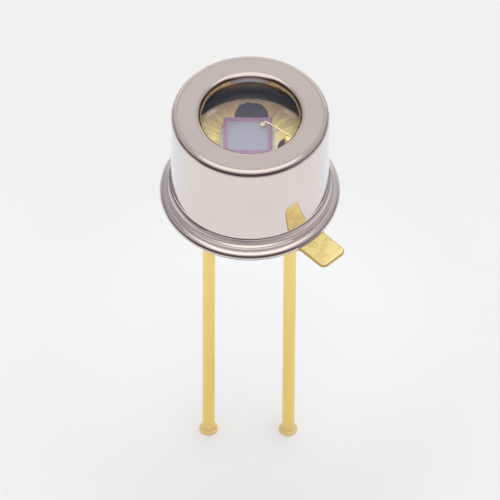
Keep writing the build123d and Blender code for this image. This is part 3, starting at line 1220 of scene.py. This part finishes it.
class PHOTODIODE_OT_chip(bpy.types.Operator):
    """Adds the chip with its violet border and active area, and the adhesive under it"""

    bl_idname = "photodiode.chip"
    bl_label = "Chip"
    bl_options = {"REGISTER", "UNDO"}

    def execute(self, context):
        plan = Plan(context.scene)
        centre = (plan.chip_offset_x, plan.chip_offset_y)
        side, width, depth = plan.chip_side, plan.chip_active_width, plan.chip_active_depth
        bevel, slope, sharp, pad_corner = 0.016, 0.02, 0.01, 0.24
        levels = (
            (side, side, sharp, plan.chip_bottom),
            (side, side, sharp, plan.chip_top - bevel / 2),
            (side - bevel, side - bevel, sharp, plan.chip_top),
            (width + slope, depth + slope, plan.chip_active_corner, plan.chip_top),
            (width, depth, plan.chip_active_corner, plan.active_top),
        )
        rings = [
            [(*point, height) for point in rectangle(centre, *sizes)] for *sizes, height in levels
        ]
        oxide, active, sawn = range(3)
        shape = Shape()
        shape.stack(rings, (sawn, sawn, sawn, oxide, oxide, active))
        looks = (oxide_material(plan), active_material(plan), silicon_side_material())
        shape.place("photodiode_die", "chip_silicon", "photodiode_chip", *looks)

        # The adhesive's edge is wavy, and wider in front of the chip than behind it.
        corner_steps, waves, wave_layer, rear = 10, 3.1, 4.2, centre[1] + 0.3
        rings = []
        for inset, rise in ((0.0, 0.0), (0.0, 0.3), (0.03, 0.75), (0.08, 0.97), (0.14, 1.0)):
            height = plan.header_platform + rise * plan.chip_adhesive_thickness
            size = side + 2 * (plan.chip_margin - inset)
            ring = []
            for x, y in rectangle(centre, size, size, pad_corner - inset, corner_steps):
                wave = noise.noise(Vector((x * waves, y * waves, wave_layer))) * 0.5 + 0.5
                spread, swing = (1.0, 0.045) if y > rear else (1.05, 0.03)
                pull = spread - swing * wave
                x = centre[0] + (x - centre[0]) * pull
                y = centre[1] + (y - centre[1]) * pull
                ring.append((x, y, height))
            rings.append(ring)
        shape = Shape()
        shape.stack(rings, [0] * (len(rings) + 1))
        adhesive = adhesive_material(plan)
        shape.place("adhesive_pad", "die_attach_silver", "die_attach", adhesive)
        return {"FINISHED"}


class PHOTODIODE_OT_bond_wire(bpy.types.Operator):
    """Adds the bond wire with its ball, loop and stitch"""

    bl_idname = "photodiode.bond_wire"
    bl_label = "Bond Wire"
    bl_options = {"REGISTER", "UNDO"}

    def execute(self, context):
        plan = Plan(context.scene)
        shape = Shape()
        radius, ball = plan.wire_diameter / 2, plan.wire_ball / 2
        half, low = plan.wire_ball_height / 2, plan.active_top
        top = low + 2 * half
        flat = math.sqrt(ball**2 - half**2)
        turns = [math.asin(half / ball) * (step / 5 - 1) for step in range(1, 10)]
        neck = radius * 1.8
        outline = [(0, low), (flat, low), *circle(ball, turns, (0, low + half))]
        outline += [(flat, top), (neck, top), (0, top)]
        shape.turn(outline, WIRE_ROUND_STEPS, plan.ball)

        # The wire rises from the ball, bends over at its crest and falls to the post.
        crest_share, rise, bend = 0.16, Vector((0, 0, 0.13)), Vector((0.09, -0.05, 0.0))
        ease_out, ease_in, droop = 0.35, 0.28, 0.9
        start = Vector((*plan.ball, top - radius))
        finish = Vector((*plan.anode, plan.post_top + radius))
        crest = Vector((*plan.ball, plan.chip_top + plan.wire_loop))
        crest += (finish - start) * Vector((crest_share, crest_share, 0.0))
        fall = finish - crest
        after_crest = crest + Vector((fall.x, fall.y, 0)) * ease_out
        before_finish = finish - Vector((fall.x, fall.y, fall.z * droop)) * ease_in
        steps = 16
        curve = geometry.interpolate_bezier
        path = curve(start, start + rise, crest - bend, crest, steps)
        path += curve(crest, after_crest, before_finish, finish, steps)[1:]
        loops = []
        across = Vector((1, 0, 0))
        for before, point, after in zip(path[:1] + path, path, path[1:] + path[-1:]):
            along = (after - before).normalized()
            across = (across - along * across.dot(along)).normalized()
            other = along.cross(across)
            around = circle(radius, even_angles(steps))
            loops.append(shape.loop(point + across * x + other * y for x, y in around))
        shape.join(loops)
        shape.bridge(shape.loop(path[:1]), loops[0])
        shape.bridge(loops[-1], shape.loop(path[-1:]))

        stitch, thickness, post = plan.wire_stitch / 2, 0.02, plan.post_top
        profile = ((0.0, 0.0), (1.0, 0.0), (0.95, 0.4), (0.7, 0.9), (0.0, 1.0))
        outline = [(stitch * out, post + thickness * up) for out, up in profile]
        shape.turn(outline, WIRE_ROUND_STEPS, plan.anode)
        shape.place("bond_wire_loop", "wire_gold", "bond_wire", wire_gold_material(plan))
        return {"FINISHED"}


class PHOTODIODE_OT_stage(bpy.types.Operator):
    """Adds the pale floor, the soft light and the camera"""

    bl_idname = "photodiode.stage"
    bl_label = "Stage"
    bl_options = {"REGISTER", "UNDO"}

    def execute(self, context):
        plan = Plan(context.scene)
        scene = context.scene
        scene.view_settings.view_transform = "Standard"
        self.add_floor(plan)
        self.add_world(scene)
        self.add_lamp(plan, scene)
        self.add_camera(plan, scene)
        return {"FINISHED"}

    def add_floor(self, plan):
        """A square of floor, a few faces each way."""
        steps, half = 12, 900.0
        marks = [half * (2 * step / steps - 1) for step in range(steps + 1)]
        shape = Shape()
        rows = [shape.loop((x, y, -plan.leads_reach) for x in marks) for y in marks]
        for first, second in zip(rows, rows[1:]):
            for n in range(steps):
                shape.face((first[n], first[n + 1], second[n + 1], second[n]))
        shape.build("floor", [floor_material(plan)])

    def add_world(self, scene):
        """A pale studio as metal mirrors it: grey backdrop, bright ceiling, dim room elsewhere."""
        scene.world = bpy.data.worlds.new("studio")
        scene.world.use_nodes = True
        scene.world.node_tree.nodes.clear()
        graph = Graph(scene.world.node_tree)
        across, depth, rise = graph.add("ShaderNodeTexCoord")["Generated"].split()
        level = (1.0 - rise * rise).apply("SQRT").at_least(0.001)
        toward, aside = depth / level, across / level
        backdrop = toward.ramp(0.30, 0.80)
        ceiling = rise.ramp(backdrop * 0.09 + 0.80, backdrop * 0.07 + 0.88)
        start = toward.ramp(-0.8, 0.2, 0.53, 0.22)
        low = rise.ramp(0.16, 0.04) * toward.ramp(-0.5, 0.0, 0.0, 0.42)
        tinted = aside.ramp(0.55, 0.9) * 0.45 * toward.ramp(0.3, 0.0) * rise.ramp(0.5, 0.3)
        # A dim room with a bright low band, its upper wall, and the backdrop behind the part.
        light = graph.mix(low, (0.10, 0.075, 0.08), (0.85, 0.80, 0.82)).layered(
            (rise.ramp(start, start + 0.2), (0.58, 0.56, 0.57)),
            (backdrop, (0.70, 0.68, 0.68)),
            (tinted, (0.42, 0.34, 0.44)),
            (toward.ramp(0.72, 0.88) * rise.ramp(0.42, 0.3), (1.15, 1.08, 1.0)),
            (ceiling, (1.32, 1.30, 1.28)),
        )
        diffuse = graph.ray("Is Diffuse Ray")
        seen = diffuse.at_least(graph.ray("Is Camera Ray"))
        seen = seen.at_least(graph.ray("Is Transmission Ray"))
        # Plain and pale where the camera sees it, past glass too, and dimmer as a light.
        pale = graph.mix(diffuse, (0.97, 0.975, 0.98), (0.42, 0.42, 0.42))
        studio, plain = (
            graph.add("ShaderNodeBackground", {"Color": colour})[0] for colour in (light, pale)
        )
        mixed = graph.add("ShaderNodeMixShader", {0: seen, 1: studio, 2: plain})[0]
        graph.add("ShaderNodeOutputWorld", {"Surface": mixed})

    def add_lamp(self, plan, scene):
        """A soft lamp over the part."""
        lamp = bpy.data.lights.new("soft_lamp", "AREA")
        lamp.shape = "DISK"
        lamp.size = 1.4
        lamp.energy = plan.stage_lamp_power
        lamp.color = (1.0, 0.99, 0.98)
        holder = bpy.data.objects.new("soft_lamp", lamp)
        holder.location = (0.1, 0.0, 1.0)
        holder.rotation_euler = (-holder.location).to_track_quat("-Z", "Y").to_euler()
        holder.visible_camera = False
        holder.visible_glossy = False
        scene.collection.objects.link(holder)

    def add_camera(self, plan, scene):
        """The camera, at a distance from the can and aimed at the middle of the part."""
        camera = bpy.data.cameras.new("camera")
        camera.sensor_width = 36
        camera.lens = plan.stage_lens
        holder = bpy.data.objects.new("camera", camera)
        scene.collection.objects.link(holder)
        can, aim = Vector((0, 0, 2.0)), Vector((0.017, 0, -2.773))
        tilt = plan.stage_elevation
        place = can + Vector((0, -math.cos(tilt), math.sin(tilt))) * plan.stage_distance
        turned = (aim - place).to_track_quat("-Z", "Y").to_matrix().to_4x4()
        rolled = turned @ Matrix.Rotation(plan.stage_roll, 4, "Z")
        holder.matrix_world = Matrix.Translation(place * MM) @ rolled
        scene.camera = holder


OPERATORS = [
    PHOTODIODE_OT_can,
    PHOTODIODE_OT_window,
    PHOTODIODE_OT_header,
    PHOTODIODE_OT_header_glass,
    PHOTODIODE_OT_leads,
    PHOTODIODE_OT_chip,
    PHOTODIODE_OT_bond_wire,
    PHOTODIODE_OT_stage,
]


class PHOTODIODE_PT_parts(bpy.types.Panel):
    """Lists the photodiode's pieces and their settings"""

    bl_idname = "PHOTODIODE_PT_parts"
    bl_label = "Photodiode"
    bl_space_type = "VIEW_3D"
    bl_region_type = "UI"
    bl_category = "Photodiode"

    def draw(self, context):
        for operator in OPERATORS:
            self.layout.operator(operator.bl_idname)
        for group_name, kind in SETTINGS.items():
            box = self.layout.box()
            group = getattr(context.scene, group_name)
            for key in kind.__annotations__:
                box.prop(group, key)


def register():
    for kind in (*SETTINGS.values(), *OPERATORS, PHOTODIODE_PT_parts):
        bpy.utils.register_class(kind)
    for group_name, kind in SETTINGS.items():
        setattr(bpy.types.Scene, group_name, PointerProperty(type=kind))


def unregister():
    for group_name in SETTINGS:
        delattr(bpy.types.Scene, group_name)
    for kind in (PHOTODIODE_PT_parts, *reversed(OPERATORS), *SETTINGS.values()):
        bpy.utils.unregister_class(kind)


def main():
    """Builds every piece in order."""
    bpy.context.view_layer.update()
    register()
    bpy.ops.photodiode.stage()
    bpy.ops.photodiode.can()
    bpy.ops.photodiode.window()
    bpy.ops.photodiode.header()
    bpy.ops.photodiode.header_glass()
    bpy.ops.photodiode.leads()
    bpy.ops.photodiode.chip()
    bpy.ops.photodiode.bond_wire()


if __name__ == "__main__":
    main()
